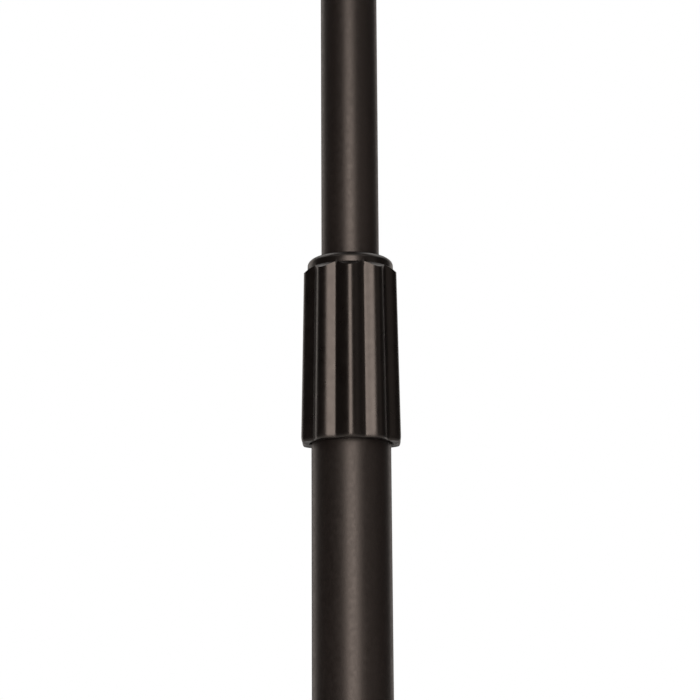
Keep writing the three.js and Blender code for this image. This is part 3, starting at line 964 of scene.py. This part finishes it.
def neck_screw():
    height = centre_of("neck_screw").z
    outline = [(2 * MM, 8.6 * MM), (2 * MM, 11.9 * MM), (3.4 * MM, 11.9 * MM),
               *arc((3.6 * MM, 12.2 * MM), (0.5 * MM, 13.9 * MM), 6)]
    piece = turned("neck_cup_screw", outline, segments=48)
    for across, along in ((2.2, 0.45), (0.45, 2.2)):
        cut(piece, block((-across * MM, across * MM), (-along * MM, along * MM), (12.9 * MM, 15 * MM)))
    place(piece, on_shaft @ Matrix.Translation((0, 0, height)) @ ALONG_Y)
    settle(piece, zinc_steel, "mast", "neck_screw")


def tilt_washers():
    for side in ("left", "right"):
        low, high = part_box(f"tilt_washer_{side}")[0][0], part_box(f"tilt_washer_{side}")[1][0]
        wall = [(PIN_RADIUS + FIT, low), (10 * MM, low), (10 * MM, high), (PIN_RADIUS + FIT, high)]
        piece = turned(f"washer_{side}", rounded(wall, 0.3 * MM), hollow=True)
        place(piece, Matrix.Translation((0, pivot.y, pivot.z)) @ ALONG_X)
        settle(piece, black_nylon, "mast", f"tilt_washer_{side}")


neck_fitting()
neck_screw()
tilt_washers()
print("neck made, pivot at", round(pivot.z / MM), "mm")

# %% [markdown]
# ## The desk
#
# The desk is one sheet of steel folded back along its rim, which stiffens it. It begins as a
# plane whose corners are rounded. The plane is pulled up into a shallow box, the back is taken
# off, the front rim is bevelled as a fold, and Solidify gives the sheet its thickness.

# %% Desk panel
SHEET = 1.2 * MM
on_desk = Matrix.Translation(pivot) @ Matrix.Rotation(-desk_lean, 4, "X")
PANEL_WIDTH, PANEL_LOW, PANEL_HIGH = 490 * MM, -150 * MM, 185 * MM
PANEL_BACK, PANEL_FLANGE = -28 * MM, 8 * MM


def rounded_plane(width, tall, corner, steps):
    """A flat face in X and Y with round corners, left in edit mode."""
    deselect_all()
    bpy.ops.mesh.primitive_plane_add(size=1)
    piece = bpy.context.active_object
    piece.scale = (width, tall, 1)
    bpy.ops.object.transform_apply(location=False, rotation=False, scale=True)
    bpy.ops.object.mode_set(mode="EDIT")
    bpy.ops.mesh.select_all(action="SELECT")
    bpy.ops.mesh.bevel(offset=corner, segments=steps, affect="VERTICES")
    return piece


def desk_panel():
    depth = PANEL_FLANGE + SHEET
    piece = rounded_plane(PANEL_WIDTH, PANEL_HIGH - PANEL_LOW, 22 * MM, 12)
    piece.name = "music_desk"
    fill_and_raise(depth)
    pick_vertices(piece, lambda co: co.z < NEAR)
    bpy.ops.mesh.select_mode(type="FACE")
    bpy.ops.mesh.delete(type="ONLY_FACE")
    pick_vertices(piece, lambda co: co.z > depth - NEAR)
    bpy.ops.mesh.bevel(offset=2.2 * MM, segments=5, affect="EDGES")
    bpy.ops.object.mode_set(mode="OBJECT")
    sheet = piece.modifiers.new("sheet", "SOLIDIFY")
    sheet.thickness, sheet.offset, sheet.use_even_offset = SHEET, -1, True
    apply(piece, sheet)
    break_edges(piece, 0.3 * MM, angle=60)
    middle = (PANEL_LOW + PANEL_HIGH) / 2
    place(piece, on_desk @ Matrix.Translation((0, PANEL_BACK + PANEL_FLANGE, middle)) @ FACING_Y)
    settle(piece, coated_steel, "desk", "desk_panel")


desk_panel()
print("desk is", round(PANEL_WIDTH / MM), "mm wide")

# %% [markdown]
# ## The ledge
#
# The ledge that holds the music is a second sheet, folded up along its back and along its front
# lip. It starts as a plane the size of its floor. Each long edge is pulled up, the two folds are
# bevelled and the free corners rounded, and Solidify thickens it towards the inside of the tray.

# %% Music ledge
LEDGE_WIDTH, LEDGE_DEPTH, LEDGE_LIP, LEDGE_FLANGE = 470 * MM, 55 * MM, 14 * MM, 18 * MM


def music_ledge():
    back = PANEL_BACK - SHEET - FIT
    front = back - LEDGE_DEPTH - SHEET
    floor = PANEL_LOW - SHEET
    deselect_all()
    bpy.ops.mesh.primitive_plane_add(size=1, location=(0, (front + back) / 2, floor))
    piece = bpy.context.active_object
    piece.name = "music_ledge"
    piece.scale = (LEDGE_WIDTH, back - front, 1)
    bpy.ops.object.transform_apply(location=True, rotation=False, scale=True)
    for edge, rise in ((back, LEDGE_FLANGE + SHEET), (front, LEDGE_LIP + SHEET)):
        pick_vertices(piece, lambda co: abs(co.y - edge) < NEAR and abs(co.z - floor) < NEAR)
        bpy.ops.mesh.extrude_region_move(TRANSFORM_OT_translate={"value": (0, 0, rise)})
    pick_vertices(piece, lambda co: co.z > floor + 1 * MM)
    bpy.ops.mesh.bevel(offset=4 * MM, segments=6, affect="VERTICES")
    for edge in (back, front):
        pick_vertices(piece, lambda co: abs(co.y - edge) < NEAR and abs(co.z - floor) < NEAR)
        bpy.ops.mesh.bevel(offset=2 * MM, segments=5, affect="EDGES")
    bpy.ops.object.mode_set(mode="OBJECT")
    sheet = piece.modifiers.new("sheet", "SOLIDIFY")
    sheet.thickness, sheet.offset, sheet.use_even_offset = SHEET, 1, True
    apply(piece, sheet)
    break_edges(piece, 0.3 * MM, angle=60)
    settle(place(piece, on_desk), coated_steel, "desk", "desk_ledge")


music_ledge()
print("ledge is", round(LEDGE_DEPTH / MM), "mm deep")

# %% [markdown]
# ## The tilt bracket
#
# A thick plate is riveted to the back of the desk, and two ears stand out from it to grip the
# neck's eye. The plate is a rounded plane pulled up, the ears are lugs welded to it, and the
# edges are broken with a narrow bevel.

# %% Bracket, bolt and rivets
BRACKET_THICK, EAR_INNER = 2.5 * MM, 8.1 * MM
bracket_rivets = [(x * 21 * MM, z * 26 * MM) for x in (-1, 1) for z in (-1, 1)]
ledge_rivets = [(x * 200 * MM, PANEL_LOW + LEDGE_FLANGE / 2 + 2 * MM) for x in (-1, 0, 1)]


def tilt_bracket():
    face = PANEL_BACK + FIT
    piece = rounded_plane(56 * MM, 68 * MM, 6 * MM, 8)
    piece.name = "tilt_plate"
    fill_and_raise(BRACKET_THICK)
    place(piece, Matrix.Translation((0, face + BRACKET_THICK, 0)) @ FACING_Y)
    for inner in (EAR_INNER, -EAR_INNER - BRACKET_THICK):
        ear = lug(face + 1 * MM, 17 * MM, 0, 11 * MM, BRACKET_THICK)
        weld(piece, place(ear, Matrix.Translation((inner, 0, 0)) @ FACING_X))
    cut(piece, rod(PIN_RADIUS + FIT, -20 * MM, 20 * MM, ALONG_X))
    break_edges(piece, 0.4 * MM)
    settle(place(piece, on_desk), coated_steel, "desk", "tilt_bracket")


def tilt_bolt():
    outer = EAR_INNER + BRACKET_THICK
    shank = rod(PIN_RADIUS, -outer - 1 * MM, 30 * MM)
    head = [(4.6 * MM, -outer - 4.3 * MM), (5.8 * MM, -outer - 3.7 * MM), (5.8 * MM, -outer - FIT)]
    piece = weld(turned("bolt_head", head, segments=6), shank)
    break_edges(piece, 0.2 * MM, angle=50)
    piece.name = "tilt_pivot_bolt"
    settle(place(piece, on_desk @ ALONG_X), zinc_steel, "desk", "tilt_bolt", angle=25)


def desk_rivets(kind, places, front, back):
    middle, half_grip = (front + back) / 2, (back - front) / 2 + FIT
    for i, (x, z) in enumerate(places):
        piece = headed_pin(f"{kind}_stud_{i + 1}", 2 * MM, 3.6 * MM, half_grip, 1.2 * MM)
        place(piece, on_desk @ Matrix.Translation((x, middle, z)) @ ALONG_Y)
        settle(piece, zinc_steel, "desk", f"{kind}_rivet_{i + 1}")


tilt_bracket()
tilt_bolt()
desk_rivets("bracket", bracket_rivets, PANEL_BACK - SHEET, PANEL_BACK + FIT + BRACKET_THICK)
desk_rivets("ledge", ledge_rivets, PANEL_BACK - 2 * SHEET - FIT, PANEL_BACK)
print("bracket, bolt and", len(bracket_rivets + ledge_rivets), "rivets made")

# %% [markdown]
# ## Parts kept from the frame
#
# The parts inside the shaft and the hub are hardly seen, and their shapes are already right. They
# stay as they are and only take their finishes.

# %% Finishes for the inner parts
inner_finishes = {
    "clutch_ferrule": brass, "tilt_knob_insert": brass,
    "clutch_collet": black_nylon, "foot_bush": black_nylon, "hub_lining": black_nylon,
    "clutch_washer": zinc_steel, "hub_knob_stud": zinc_steel,
}
for node, finish in inner_finishes.items():
    frame["nodes"][node].material_slots[0].material = finish
print("inner parts finished:", len(inner_finishes))
